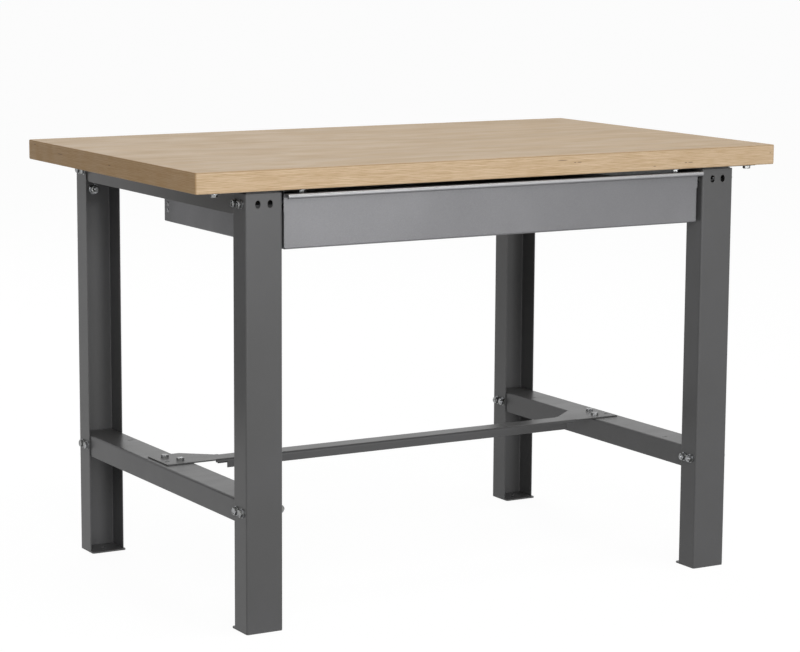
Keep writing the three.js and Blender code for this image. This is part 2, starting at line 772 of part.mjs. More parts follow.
// Bolts of the frame: pairs through each leg and rail, two at each end of the stretcher, two in each
// strap, and one in the web of each rear leg.
function buildBolts() {
  const bolts = new THREE.Group();
  const railBolt = boltGeometry({ grip: legWidth, headWasher: true, nutWasher: true, nut: true });
  const plateGrip = railSheet + stretcherSheet;
  const plateBolt = boltGeometry({ grip: plateGrip, headWasher: false, nutWasher: true, nut: true });
  const topBolt = boltGeometry({ grip: strapThickness + topBoltDepth, headWasher: true });
  const accessory = accessoryBoltGeometry();
  for (const side of sides) {
    for (const end of ends) {
      const corner = `${end.name}_${side.name}`;
      for (const [level, z] of [['lower', lowerBoltZ], ['upper', upperBoltZ]]) {
        railBoltY.forEach((y, i) => {
          const bolt = addMesh(bolts, `rail_bolt_${level}_${corner}_${i + 1}`, railBolt, zinc);
          bolt.position.set(side.sign * legInnerX, end.sign * y, z);
          bolt.rotation.y = side.sign * Math.PI / 2;
        });
      }
      strapBoltX.forEach((x, i) => {
        const bolt = addMesh(bolts, `top_bolt_${corner}_${i + 1}`, topBolt, zinc);
        bolt.position.set(side.sign * x, end.sign * strapBoltY, topUnderside + topBoltDepth);
        bolt.rotation.x = Math.PI;
      });
    }
    endPlateBolts.forEach((place, i) => {
      const bolt = addMesh(bolts, `stretcher_bolt_${side.name}_${i + 1}`, plateBolt, zinc);
      const x = side.sign * (endPlateX - place.fromEnd);
      bolt.position.set(x, stretcherFront + place.fromFront, lowerRailTop - railSheet);
    });
    const bolt = addMesh(bolts, `accessory_bolt_${side.name}`, accessory, zinc);
    bolt.position.set(side.sign * legMiddleX, legWebY - legSheet, accessoryBoltZ);
    bolt.rotation.x = -Math.PI / 2;
  }
  return bolts;
}

// Drawer with its glides
function buildDrawer() {
  const drawer = new THREE.Group();
  addMesh(drawer, 'drawer_shell', drawerShellGeometry(), drawerPaint);
  addMesh(drawer, 'drawer_floor', drawerFloorGeometry(), drawerPaint);
  addMesh(drawer, 'drawer_back', drawerBackGeometry(), drawerPaint);
  const glide = toGeometry(toSolid(glideGeometry()));
  for (const side of sides) {
    addMesh(drawer, `glide_${side.name}`, mirrored(glide, side.sign, 1), nylon);
  }
  return drawer;
}

// Runners and the screws that hold them to the top
function buildRunners() {
  const runners = new THREE.Group();
  const runner = runnerGeometry();
  const screw = toGeometry(toSolid(screwGeometry()));
  for (const side of sides) {
    addMesh(runners, `runner_${side.name}`, mirrored(runner, side.sign, 1), galvanised);
    runnerScrewY.forEach((y, i) => {
      const mesh = addMesh(runners, `runner_screw_${side.name}_${i + 1}`, screw, zinc);
      mesh.position.set(side.sign * runnerScrewX, y, topUnderside - runnerSheet);
    });
  }
  return runners;
}

// The handle reaches past the top's front edge, so the bench moves back by half of that: its origin is
// then the middle of its footprint on the floor.
const bench = new THREE.Group();
bench.name = 'workbench';
bench.position.y = (handleReach - drawerSetback) / 2;
addMesh(bench, 'tabletop', tabletopGeometry(), plywood);
bench.add(buildFrame(), buildBolts(), buildRunners(), buildDrawer());

export default bench;
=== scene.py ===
# %% [markdown]
# # A workshop bench: plywood, powder coat and zinc
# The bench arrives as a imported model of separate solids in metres: a plywood top, folded sheet-steel legs
# and rails, one hanging drawer and its bolts. This lesson dresses that model: every surface gets a finish
# built from nodes, and the fasteners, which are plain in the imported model, are modelled again in full
# detail.

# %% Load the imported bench
import json
import math

import bpy
import numpy as np
from mathutils import Matrix, Vector


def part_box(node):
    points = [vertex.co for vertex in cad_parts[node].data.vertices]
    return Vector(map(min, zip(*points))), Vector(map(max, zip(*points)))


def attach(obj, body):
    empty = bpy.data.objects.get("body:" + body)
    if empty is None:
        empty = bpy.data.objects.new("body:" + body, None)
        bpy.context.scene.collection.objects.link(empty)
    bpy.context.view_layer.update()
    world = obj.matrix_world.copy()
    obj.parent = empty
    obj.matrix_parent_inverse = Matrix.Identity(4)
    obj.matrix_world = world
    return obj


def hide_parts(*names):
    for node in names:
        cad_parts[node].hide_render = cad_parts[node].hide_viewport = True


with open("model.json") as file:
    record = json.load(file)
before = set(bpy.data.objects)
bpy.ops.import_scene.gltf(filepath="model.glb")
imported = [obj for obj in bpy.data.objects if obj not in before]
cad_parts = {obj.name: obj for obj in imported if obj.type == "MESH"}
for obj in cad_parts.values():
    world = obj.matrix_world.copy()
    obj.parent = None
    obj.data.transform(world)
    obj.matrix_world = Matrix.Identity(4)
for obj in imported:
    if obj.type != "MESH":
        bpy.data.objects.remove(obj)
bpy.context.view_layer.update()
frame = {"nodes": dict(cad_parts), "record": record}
MM = 0.001
link = bpy.context.scene.collection.objects.link
slot_of_node = {part["node"]: part["material_slot"] for part in frame["record"]["subparts"]}

# %% [markdown]
# ## Camera
# The picture was taken from the front left with a long lens, a little above the worktop. The focal length
# is written in pixels of the picture, as it comes out of matching the bench's corners, and the lens turns
# it into millimetres on the sensor. The camera stands about five metres away and looks slightly down.

# %% Camera at the picture's viewing angle
IMAGE_WIDTH = 800
FOCAL_PIXELS = 2583.0
CAMERA_PLACE = Vector((-2.5417, -4.3445, 1.2645))
CAMERA_YAW, CAMERA_PITCH, CAMERA_ROLL = 0.5290, -0.1572, 0.0060
SENSOR_WIDTH = 36.0
VIEW_REACH = 200.0

camera_data = bpy.data.cameras.new("camera")
camera_data.sensor_fit = "HORIZONTAL"
camera_data.sensor_width = SENSOR_WIDTH
camera_data.lens = FOCAL_PIXELS / IMAGE_WIDTH * SENSOR_WIDTH
camera_data.clip_end = VIEW_REACH
camera = bpy.data.objects.new("camera", camera_data)
turn = (
    Matrix.Rotation(-CAMERA_YAW, 4, "Z")
    @ Matrix.Rotation(math.pi / 2 + CAMERA_PITCH, 4, "X")
    @ Matrix.Rotation(CAMERA_ROLL, 4, "Z")
)
camera.matrix_world = Matrix.Translation(CAMERA_PLACE) @ turn
link(camera)
bpy.context.scene.camera = camera
print("lens mm:", round(camera_data.lens, 1))

# %% [markdown]
# ## Small helpers for shader nodes
# A material is a graph. These helpers add a node, set its plain values by socket name, and join sockets,
# so the finishes below read from top to bottom like a recipe. A colour is written as it looks on screen
# and turned into the linear numbers that the renderer uses.


# %% Node helpers
def linear(hex_colour):
    """Screen colour '#rrggbb' as linear RGBA: a channel c becomes ((c + 0.055) / 1.055) to the power 2.4."""
    screen = np.array([int(hex_colour[i:i + 2], 16) for i in (1, 3, 5)]) / 255
    values = np.where(screen <= 0.04045, screen / 12.92, ((screen + 0.055) / 1.055) ** 2.4)
    return (*values.tolist(), 1.0)


def add_node(tree, kind, settings=None, **inputs):
    """A new node with its settings. An input goes by its name, or by its number as in i0, and takes a value
    or another node's socket."""
    node = tree.nodes.new(kind)
    for name, value in (settings or {}).items():
        setattr(node, name, value)
    for name, value in inputs.items():
        socket = node.inputs[int(name[1:])] if name[1:].isdigit() else node.inputs[name]
        if isinstance(value, bpy.types.NodeSocket):
            tree.links.new(value, socket)
        else:
            socket.default_value = value
    return node


def calculate(tree, operation, a, b=0.0, clamp=False):
    """One arithmetic step on two values."""
    settings = {"operation": operation, "use_clamp": clamp}
    return add_node(tree, "ShaderNodeMath", settings, i0=a, i1=b).outputs[0]


def mix_colour(tree, factor, a, b, blend="MIX"):
    """Two colours: the first at factor zero, the blend of both at factor one, and in a line between."""
    settings = {"data_type": "RGBA", "blend_type": blend}
    return add_node(tree, "ShaderNodeMix", settings, i0=factor, i6=a, i7=b).outputs[2]


def remap(tree, value, low, high, new_low=0.0, new_high=1.0):
    """A value moved from one range to another: its share t of the way becomes three t squared minus two t
    cubed, so both ends are soft."""
    settings = {"interpolation_type": "SMOOTHSTEP"}
    node = add_node(tree, "ShaderNodeMapRange", settings, i0=value, i1=low, i2=high, i3=new_low, i4=new_high)
    return node.outputs[0]


print("mid grey in linear light:", round(linear("#808080")[0], 3))

# %% [markdown]
# ## Helpers for patterns, groups and materials
# Real surfaces are never even, and noise makes most of that unevenness. Stretching the place gives the
# noise a direction, such as the grain's. A pattern that several finishes share is kept in a node group,
# so it is written once.


# %% Pattern, group and material helpers
def noise(tree, place, scale, detail=3.0, roughness=0.5, distortion=0.0):
    """Cloudy noise between 0 and 1 at a place."""
    node = add_node(
        tree,
        "ShaderNodeTexNoise",
        Vector=place,
        Scale=scale,
        Detail=detail,
        Roughness=roughness,
        Distortion=distortion,
    )
    return node.outputs["Fac"]


def stretched(tree, place, scale):
    """A place stretched by a scale on each axis, so that a pattern gets a direction."""
    return add_node(tree, "ShaderNodeMapping", Vector=place, Scale=scale).outputs[0]


def new_group(name, inputs, outputs):
    """An empty shader node group with named sockets, and its input and output nodes."""
    tree = bpy.data.node_groups.new(name, "ShaderNodeTree")
    for socket_name, kind, default in inputs:
        socket = tree.interface.new_socket(name=socket_name, in_out="INPUT", socket_type=kind)
        socket.default_value = default
    for socket_name, kind in outputs:
        tree.interface.new_socket(name=socket_name, in_out="OUTPUT", socket_type=kind)
    return tree, tree.nodes.new("NodeGroupInput"), tree.nodes.new("NodeGroupOutput")


def use_group(tree, group, **inputs):
    """A group placed in a material with its own values."""
    return add_node(tree, "ShaderNodeGroup", {"node_tree": group}, **inputs)


def new_material(name):
    """A material with only a Principled shader, and its tree, shader and Object coordinates."""
    material = bpy.data.materials.new(name)
    material.use_nodes = True
    tree = material.node_tree
    shader = tree.nodes["Principled BSDF"]
    place = tree.nodes.new("ShaderNodeTexCoord").outputs["Object"]
    return material, tree, shader, place


print("pattern, group and material helpers ready")

# %% [markdown]
# ## Edge wear, shared by paint and galvanised sheet
# Powder coat is thin where a sheet was cut or bent, so it wears brighter there first, and the bend itself
# is round. The Bevel node looks at the surface round a point and gives a rounded normal. Where this
# differs from the flat face's own normal there is an edge, and that difference, broken up by noise, is
# the wear mask.

# %% Group: worn edges
EDGE_RADIUS = 1.2 * MM


def worn_edges_group():
    """Mask = one minus the agreement of rounded and plain normal, softened and multiplied by noise."""
    group, inside, outside = new_group(
        "worn_edges",
        [("Vector", "NodeSocketVector", (0.0, 0.0, 0.0)), ("Breakup", "NodeSocketFloat", 60.0)],
        [("Mask", "NodeSocketFloat"), ("Normal", "NodeSocketVector")],
    )
    rounded = add_node(group, "ShaderNodeBevel", {"samples": 6}, Radius=EDGE_RADIUS).outputs[0]
    plain = group.nodes.new("ShaderNodeNewGeometry").outputs["Normal"]
    agreement = add_node(group, "ShaderNodeVectorMath", {"operation": "DOT_PRODUCT"}, i0=rounded, i1=plain)
    edge = remap(group, calculate(group, "SUBTRACT", 1.0, agreement.outputs["Value"]), 0.03, 0.25)
    broken = remap(group, noise(group, inside.outputs["Vector"], inside.outputs["Breakup"], 4.0), 0.42, 0.62)
    group.links.new(calculate(group, "MULTIPLY", edge, broken), outside.inputs["Mask"])
    group.links.new(rounded, outside.inputs["Normal"])
    return group


worn_edges = worn_edges_group()
print("group:", worn_edges.name)

# %% [markdown]
# ## Handling marks, shared by paint, zinc and wood
# A bench stands in a workshop, so dust settles on faces that look up and cloths leave faint smears. Both
# are slow changes over the surface, made from two scales of noise, and they matter mostly in the gloss.


# %% Group: handling marks
def handling_marks_group():
    """Dust = how far the face looks up, times cloudy noise. Smear = long soft noise along the bench."""
    group, inside, outside = new_group(
        "handling_marks",
        [("Vector", "NodeSocketVector", (0.0, 0.0, 0.0))],
        [("Dust", "NodeSocketFloat"), ("Smear", "NodeSocketFloat")],
    )
    place = inside.outputs["Vector"]
    normal = group.nodes.new("ShaderNodeNewGeometry").outputs["Normal"]
    up = add_node(group, "ShaderNodeSeparateXYZ", Vector=normal).outputs["Z"]
    clouds = remap(group, noise(group, place, 14.0, 5.0, 0.6), 0.4, 0.75)
    dust = calculate(group, "MULTIPLY", remap(group, up, 0.5, 0.95), clouds)
    smear = noise(group, stretched(group, place, (3.0, 9.0, 5.0)), 3.0, 4.0, 0.55, 0.6)
    group.links.new(dust, outside.inputs["Dust"])
    group.links.new(smear, outside.inputs["Smear"])
    return group


handling_marks = handling_marks_group()
print("group:", handling_marks.name)

# %% [markdown]
# ## Painted highlight on the drawer's handle
# The rolled handle's upper front edge is painted lighter and a little glossier than the paint round it. This
# is a painted highlight for the bright line that light draws along the roll. A second material would need a
# group of faces for itself, and the folded sheet has none there. So a mask by place does it: it is full at
# that edge and fades out softly.

# %% Painted highlight on the drawer's handle
# Size of the painted highlight: how far it reaches behind the handle's front and below its top
HIGHLIGHT_DEPTH, HIGHLIGHT_HEIGHT = 12.0 * MM, 7.0 * MM
shell_low, shell_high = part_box("drawer_shell")
handle_edge = (shell_low.y, shell_high.z)


def painted_handle_highlight(tree, place, front, top):
    """Mask of the painted highlight, a product of two soft ramps: full at the handle's upper front edge, and
    zero from a set depth behind it or a set height below it."""
    parts = add_node(tree, "ShaderNodeSeparateXYZ", Vector=place).outputs
    near = remap(tree, parts["Y"], front + HIGHLIGHT_DEPTH, front)
    high = remap(tree, parts["Z"], top - HIGHLIGHT_HEIGHT, top - MM)
    return calculate(tree, "MULTIPLY", near, high)


print("handle edge m:", [round(value, 4) for value in handle_edge])

# %% [markdown]
# ## Paint on sheet steel
# Powder coat melts into a skin with a fine dimple, like orange peel. Both paints share that recipe: the
# frame is a dark semi-gloss grey, and the drawer a lighter grey with metal flake in it. Plain colours
# would look like plastic, so the dimple is height noise of about a millimetre, and the flake is a cell
# pattern finer than the eye resolves.

# %% Painted steel materials
PAINT_SPECULAR = 0.30
FLAKE_SCALE, DIMPLE_SCALE = 2200.0, 900.0
# The handle's painted highlight is a paler grey, and it takes off a little roughness by its gloss share below
DUST_COLOUR, HANDLE_HIGHLIGHT_COLOUR = linear("#b9b6af"), linear("#aaaaab")
DUST_SHARE, WEAR_SHARE = 0.02, 0.25
SMEAR_GLOSS, DUST_GLOSS, HANDLE_HIGHLIGHT_GLOSS = 0.02, 0.03, 0.05


def painted_steel(name, dark, light, worn, roughness, metallic, flake, grip=None):
    """Colour drifts between two shades, edges wear to a third, and the skin has a fine dimple."""
    material, tree, shader, place = new_material(name)
    marks = use_group(tree, handling_marks, Vector=place)
    edges = use_group(tree, worn_edges, Vector=place, Breakup=45.0)
    drift = remap(tree, noise(tree, place, 5.0, 3.0), 0.3, 0.7)
    colour = mix_colour(tree, drift, linear(dark), linear(light))
    cells = add_node(tree, "ShaderNodeTexVoronoi", Vector=place, Scale=FLAKE_SCALE).outputs["Color"]
    sparkle = add_node(tree, "ShaderNodeSeparateXYZ", Vector=cells).outputs["X"]
    spread = calculate(tree, "MULTIPLY", calculate(tree, "SUBTRACT", sparkle, 0.5), flake)
    brightness = calculate(tree, "ADD", spread, 1.0)
    shimmer = add_node(tree, "ShaderNodeCombineXYZ", X=brightness, Y=brightness, Z=brightness).outputs[0]
    colour = mix_colour(tree, 1.0, colour, shimmer, "MULTIPLY")
    dust, smear = marks.outputs["Dust"], marks.outputs["Smear"]
    colour = mix_colour(tree, calculate(tree, "MULTIPLY", dust, DUST_SHARE), colour, DUST_COLOUR)
    wear = calculate(tree, "MULTIPLY", edges.outputs["Mask"], WEAR_SHARE)
    colour = mix_colour(tree, wear, colour, linear(worn))
    gloss = remap(tree, smear, 0.3, 0.7, roughness - SMEAR_GLOSS, roughness + SMEAR_GLOSS)
    gloss = calculate(tree, "ADD", gloss, calculate(tree, "MULTIPLY", dust, DUST_GLOSS), True)
    # Painted highlight along the handle's upper front edge: a lighter colour and a little less roughness
    if grip:
        handle_highlight = painted_handle_highlight(tree, place, *grip)
        colour = mix_colour(tree, handle_highlight, colour, HANDLE_HIGHLIGHT_COLOUR)
        gloss = calculate(tree, "SUBTRACT", gloss, calculate(tree, "MULTIPLY", handle_highlight, HANDLE_HIGHLIGHT_GLOSS))
    tree.links.new(colour, shader.inputs["Base Color"])
    tree.links.new(gloss, shader.inputs["Roughness"])
    shader.inputs["Metallic"].default_value = metallic
    shader.inputs["Specular IOR Level"].default_value = PAINT_SPECULAR
    dimple = noise(tree, place, DIMPLE_SCALE, 2.0)
    bump = add_node(
        tree,
        "ShaderNodeBump",
        Strength=0.10,
        Distance=0.3 * MM,
        Height=dimple,
        Normal=edges.outputs["Normal"],
    )
    tree.links.new(bump.outputs[0], shader.inputs["Normal"])
    return material


frame_paint = painted_steel(
    "frame_paint",
    dark="#525252",
    light="#565657",
    worn="#7c7c7c",
    roughness=0.32,
    metallic=0.0,
    flake=0.06,
)
drawer_paint = painted_steel(
    "drawer_paint",
    dark="#6f6f71",
    light="#757577",
    worn="#a0a0a1",
    roughness=0.32,
    metallic=0.58,
    flake=0.30,
    # grip: where the handle's painted highlight lies
    grip=handle_edge,
)
print("paints:", frame_paint.name, drawer_paint.name)

# %% [markdown]
# ## Bright zinc and galvanised sheet
# Zinc plating on bolts is a bright, slightly blue skin with uneven gloss. Hot galvanised sheet shows
# spangle: flat crystals a few millimetres across, each turned its own way. A cell pattern gives every
# crystal its own brightness and gloss.

# %% Bare metal materials
SPANGLE_SCALE = 160.0


def bright_zinc():
    """Metal whose tint and gloss drift with noise."""
    material, tree, shader, place = new_material("zinc")
    marks = use_group(tree, handling_marks, Vector=place)
    tint = noise(tree, place, 130.0, 4.0)
    colour = mix_colour(tree, remap(tree, tint, 0.35, 0.65), linear("#9a9b9e"), linear("#828381"))
    tree.links.new(colour, shader.inputs["Base Color"])
    shader.inputs["Metallic"].default_value = 1.0
    tree.links.new(remap(tree, marks.outputs["Smear"], 0.3, 0.7, 0.20, 0.34), shader.inputs["Roughness"])
    skin = noise(tree, place, 1500.0)
    bump = add_node(tree, "ShaderNodeBump", Strength=0.08, Distance=0.1 * MM, Height=skin)
    tree.links.new(bump.outputs[0], shader.inputs["Normal"])
    return material


def galvanised_sheet():
    """Metal in crystals: each Voronoi cell has its own brightness and gloss."""
    material, tree, shader, place = new_material("galvanised")
    cells = add_node(tree, "ShaderNodeTexVoronoi", Vector=place, Scale=SPANGLE_SCALE).outputs["Color"]
    crystal = add_node(tree, "ShaderNodeSeparateXYZ", Vector=cells).outputs["X"]
    edges = use_group(tree, worn_edges, Vector=place, Breakup=80.0)
    colour = mix_colour(tree, crystal, linear("#a2a5a8"), linear("#bcbec0"))
    colour = mix_colour(tree, edges.outputs["Mask"], colour, linear("#d2d3d4"))
    tree.links.new(colour, shader.inputs["Base Color"])
    shader.inputs["Metallic"].default_value = 1.0
    tree.links.new(remap(tree, crystal, 0.0, 1.0, 0.32, 0.5), shader.inputs["Roughness"])
    tree.links.new(edges.outputs["Normal"], shader.inputs["Normal"])
    return material


zinc = bright_zinc()
galvanised = galvanised_sheet()
print("metals:", zinc.name, galvanised.name)

# %% [markdown]
# ## Nylon
# The drawer's rear glides are moulded nylon: milky, a little uneven, with a soft surface light. A faint
# cloud in the colour and some light carried under the skin are enough.


# %% Nylon material
def milky_nylon():
    """Off-white with faint clouds and light scattered just under the skin."""
    material, tree, shader, place = new_material("nylon")
    cloud = noise(tree, place, 90.0, 3.0)
    colour = mix_colour(tree, cloud, linear("#e9e8e0"), linear("#d8d6cb"))
    tree.links.new(colour, shader.inputs["Base Color"])
    tree.links.new(remap(tree, cloud, 0.3, 0.7, 0.42, 0.58), shader.inputs["Roughness"])
    shader.inputs["Subsurface Weight"].default_value = 0.15
    shader.inputs["Subsurface Radius"].default_value = (1.5 * MM, 1.3 * MM, 1.0 * MM)
    skin = noise(tree, place, 700.0)
    bump = add_node(tree, "ShaderNodeBump", Strength=0.1, Distance=0.1 * MM, Height=skin)
    tree.links.new(bump.outputs[0], shader.inputs["Normal"])
    return material


nylon = milky_nylon()
print("plastic:", nylon.name)

# %% [markdown]
# ## Plywood
# A plywood board shows two faces. Its flat side is one wide veneer, and its edge shows every ply with the
# glue lines between and a few gaps where a core veneer was short. A picture of wood would need another
# for each side, so the board is described by sizes, and all the rest follows from the place on it.

# %% Plywood sizes and the marks on its edges
top_low, top_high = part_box("tabletop")
PLY_COUNT = 27
PLY_THICKNESS = (top_high.z - top_low.z) / PLY_COUNT
PLY_WANDER = 0.8 * MM
MARK_HALF_HEIGHT = 0.8 * MM
# Each mark: millimetres along the edge from the middle of the bench, above the underside, and half its length
FRONT_MARKS = (
    (128, 28, 13),
    (156, 23, 3),
    (166, 23, 6),
    (338, 8, 4),
    (411, 12, 4),
    (422, 12, 7),
    (614, 22, 2),
)
LEFT_MARKS = ((221, 22, 14), (-9, 20, 6), (345, 31, 6))
RIGHT_MARKS = ((-180, 12, 5), (60, 25, 9), (236, 17, 4))
REAR_MARKS = ((-420, 15, 6), (-95, 26, 4), (205, 10, 9))
print("ply thickness mm:", round(PLY_THICKNESS / MM, 2))

# %% [markdown]
# ## Veneer on the flat faces
# This sheet was peeled off a turning log, so its streaks are long, pale and soft, with fine fibres and
# short pores among them. All three are noise, stretched along the bench by different amounts, and so
# nothing repeats.

# %% Veneer on the flat faces
VENEER_DEEP, VENEER_PALE = linear("#b79f80"), linear("#c1a98a")
VENEER_FIBRE, VENEER_PORE = linear("#ab9170"), linear("#8f7453")


def face_veneer(tree, place):
    """Colour and height of the veneer: broad streaks, fine fibres and short dark pores, all along X."""
    streaks = noise(tree, stretched(tree, place, (0.9, 9.0, 9.0)), 2.2, 4.0, 0.55, 1.2)
    fibres = noise(tree, stretched(tree, place, (6.0, 260.0, 260.0)), 1.6, 3.0, 0.6)
    pores = noise(tree, stretched(tree, place, (22.0, 520.0, 520.0)), 1.0, 2.0)
    pore_mask = remap(tree, pores, 0.66, 0.74)
    colour = mix_colour(tree, remap(tree, streaks, 0.3, 0.7), VENEER_DEEP, VENEER_PALE)
    colour = mix_colour(tree, remap(tree, fibres, 0.35, 0.7, 0.0, 0.3), colour, VENEER_FIBRE)
    colour = mix_colour(tree, calculate(tree, "MULTIPLY", pore_mask, 0.25), colour, VENEER_PORE)
    height = calculate(tree, "SUBTRACT", fibres, calculate(tree, "MULTIPLY", pore_mask, 0.6))
    return colour, height


print("veneer: streaks, fibres and pores")

# %% [markdown]
# ## Plies on the edges
# The saw cut through every ply, so the edge is a stack of stripes that alternate between long fibres and
# darker end grain. Modelled stripes would be relief far below a millimetre. So the height above the
# underside is divided by the thickness of a ply: the whole number picks the ply, its grain and its shade,
# and the fraction finds the glue line. The dark dashes are the gaps in the core, each at its own place.

# %% Plies on the edges
LONG_GRAIN = (linear("#dbc3a5"), linear("#bb9d77"))
END_GRAIN = (linear("#d3ba9a"), linear("#b2946c"))
PLY_SHADE, GLUE_LINE, OUTER_PLY = linear("#b2936b"), linear("#8d704c"), linear("#94754d")
# The tone for edges that face sideways is partly the wood's own and partly painted shade
SIDE_TONE_AND_SHADE, CORE_GAP = linear("#9c743e"), linear("#4a3522")


def edge_marks(tree, along, above, looks_there, marks):
    """Dark dashes on one side of the board: one inside an ellipse round each middle, and zero outside."""
    total = 0.0
    for middle, rise, half_length in marks:
        run = calculate(tree, "SUBTRACT", along, middle * MM)
        run = calculate(tree, "DIVIDE", run, half_length * MM)
        climb = calculate(tree, "SUBTRACT", above, rise * MM)
        climb = calculate(tree, "DIVIDE", climb, MARK_HALF_HEIGHT)
        run_squared = calculate(tree, "POWER", run, 2.0)
        distance = calculate(tree, "ADD", run_squared, calculate(tree, "POWER", climb, 2.0))
        total = calculate(tree, "ADD", remap(tree, distance, 0.3, 1.0, 1.0, 0.0), total)
    return calculate(tree, "MULTIPLY", total, looks_there)


def ply_edge(tree, place, normal):
    """Colour and relief of the edge: the height over the ply's thickness has the ply's number as its whole
    part and the place within the ply as its fraction."""
    split = add_node(tree, "ShaderNodeSeparateXYZ", Vector=place).outputs
    facing = add_node(tree, "ShaderNodeSeparateXYZ", Vector=normal).outputs
    wobble = noise(tree, stretched(tree, place, (5.0, 5.0, 0.0)), 1.5, 2.0)
    lift = calculate(tree, "MULTIPLY", calculate(tree, "SUBTRACT", wobble, 0.5), PLY_WANDER)
    above = calculate(tree, "ADD", calculate(tree, "SUBTRACT", split["Z"], top_low.z), lift)
    layer = calculate(tree, "DIVIDE", above, PLY_THICKNESS)
    number = calculate(tree, "FLOOR", layer)
    within = calculate(tree, "FRACT", layer)
    is_end_grain = calculate(tree, "MODULO", number, 2.0)
    shade = add_node(tree, "ShaderNodeTexWhiteNoise", {"noise_dimensions": "1D"}, W=number).outputs["Value"]
    along = calculate(tree, "ADD", split["X"], split["Y"])
    spot = add_node(tree, "ShaderNodeCombineXYZ", X=along, Y=number, Z=above).outputs[0]
    fibres = noise(tree, stretched(tree, spot, (9.0, 7.0, 480.0)), 1.0, 4.0, 0.65)
    speckle = noise(tree, stretched(tree, spot, (28.0, 7.0, 480.0)), 1.0, 4.0, 0.65)
    long_grain = mix_colour(tree, remap(tree, fibres, 0.3, 0.7), *LONG_GRAIN)
    end_grain = mix_colour(tree, remap(tree, speckle, 0.3, 0.7), *END_GRAIN)
    colour = mix_colour(tree, is_end_grain, long_grain, end_grain)
    colour = mix_colour(tree, calculate(tree, "MULTIPLY", shade, 0.2), colour, PLY_SHADE)
    from_middle = calculate(tree, "ABSOLUTE", calculate(tree, "SUBTRACT", within, 0.5))
    glue = remap(tree, from_middle, 0.43, 0.5)
    colour = mix_colour(tree, calculate(tree, "MULTIPLY", glue, 0.2), colour, GLUE_LINE)
    outer_start = top_high.z - 2 * PLY_THICKNESS
    outer_ply = remap(tree, split["Z"], outer_start, outer_start + PLY_THICKNESS, 0.0, 0.6)
    colour = mix_colour(tree, outer_ply, colour, OUTER_PLY)
    # Edges that face sideways are mixed towards a darker, warmer brown: partly the wood's own tone, partly
    # painted shade, as the left edge lies in shade
    sideways = remap(tree, calculate(tree, "ABSOLUTE", facing["X"]), 0.5, 0.9, 0.0, 0.50)
    colour = mix_colour(tree, sideways, colour, SIDE_TONE_AND_SHADE)
    sides = (
        (split["X"], remap(tree, facing["Y"], -0.8, -0.5, 1.0, 0.0), FRONT_MARKS),
        (split["Y"], remap(tree, facing["X"], -0.8, -0.5, 1.0, 0.0), LEFT_MARKS),
        (split["X"], remap(tree, facing["Y"], 0.5, 0.8), REAR_MARKS),
        (split["Y"], remap(tree, facing["X"], 0.5, 0.8), RIGHT_MARKS),
    )
    dark = 0.0
    for run_along, looks_there, marks in sides:
        found = edge_marks(tree, run_along, above, looks_there, marks)
        dark = calculate(tree, "ADD", found, dark, True)
    colour = mix_colour(tree, calculate(tree, "MULTIPLY", dark, 0.75), colour, CORE_GAP)
    sunk = calculate(tree, "ADD", glue, calculate(tree, "MULTIPLY", dark, 3.0))
    height = calculate(tree, "SUBTRACT", fibres, sunk)
    return colour, height


print("edge marks:", len(FRONT_MARKS + LEFT_MARKS + RIGHT_MARKS + REAR_MARKS))

# %% [markdown]
# ## The board's material
# Faces and edges belong to one solid, so one material carries both patterns and picks by the direction
# that the face looks: up or down for the veneer, sideways for the plies. The same choice mixes their
# relief.


# %% Plywood material
def plywood_board():
    """Veneer where the face looks up or down, plies where it looks sideways, both with grain relief."""
    material, tree, shader, place = new_material("plywood")
    normal = tree.nodes.new("ShaderNodeNewGeometry").outputs["Normal"]
    upright = add_node(tree, "ShaderNodeSeparateXYZ", Vector=normal).outputs["Z"]
    is_face = remap(tree, calculate(tree, "ABSOLUTE", upright), 0.45, 0.8)
    marks = use_group(tree, handling_marks, Vector=place)
    veneer_colour, veneer_height = face_veneer(tree, place)
    edge_colour, edge_height = ply_edge(tree, place, normal)
    colour = mix_colour(tree, is_face, edge_colour, veneer_colour)
    handled = remap(tree, marks.outputs["Smear"], 0.5, 0.8, 0.0, 0.10)
    colour = mix_colour(tree, handled, colour, linear("#a98d68"))
    tree.links.new(colour, shader.inputs["Base Color"])
    tree.links.new(remap(tree, marks.outputs["Smear"], 0.3, 0.7, 0.55, 0.72), shader.inputs["Roughness"])
    height = add_node(tree, "ShaderNodeMix", i0=is_face, i2=edge_height, i3=veneer_height).outputs[0]
    bump = add_node(tree, "ShaderNodeBump", Strength=0.35, Distance=0.25 * MM, Height=height)
    tree.links.new(bump.outputs[0], shader.inputs["Normal"])
    return material


plywood = plywood_board()
print("wood:", plywood.name)

# %% [markdown]
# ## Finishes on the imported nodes
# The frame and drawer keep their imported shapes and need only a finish. The finishes could be chosen one
# by one, but the record names a material slot for every node, so they go on by that name.

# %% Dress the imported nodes
finishes = {
    "plywood": plywood,
    "frame_paint": frame_paint,
    "drawer_paint": drawer_paint,
    "zinc": zinc,
    "galvanised": galvanised,
    "nylon": nylon,
}
for node_name, node_object in frame["nodes"].items():
    node_object.data.materials.clear()
    node_object.data.materials.append(finishes[slot_of_node[node_name]])
print("dressed:", len(frame["nodes"]))

# %% [markdown]
# ## Fasteners
# A bolt is round, apart from its hexagons. It could be joined from cylinders, but real bolts are turned,
# so each one is a single surface over two parameters: the angle round the axis, and the position along a
# profile from the thread's end to the top of the head. Where the profile is hexagonal, the radius is the
# smaller of the hexagon and a cone, and this leaves the curved chamfer that real heads and nuts have.
# Along the thread end, the radius follows a helix.

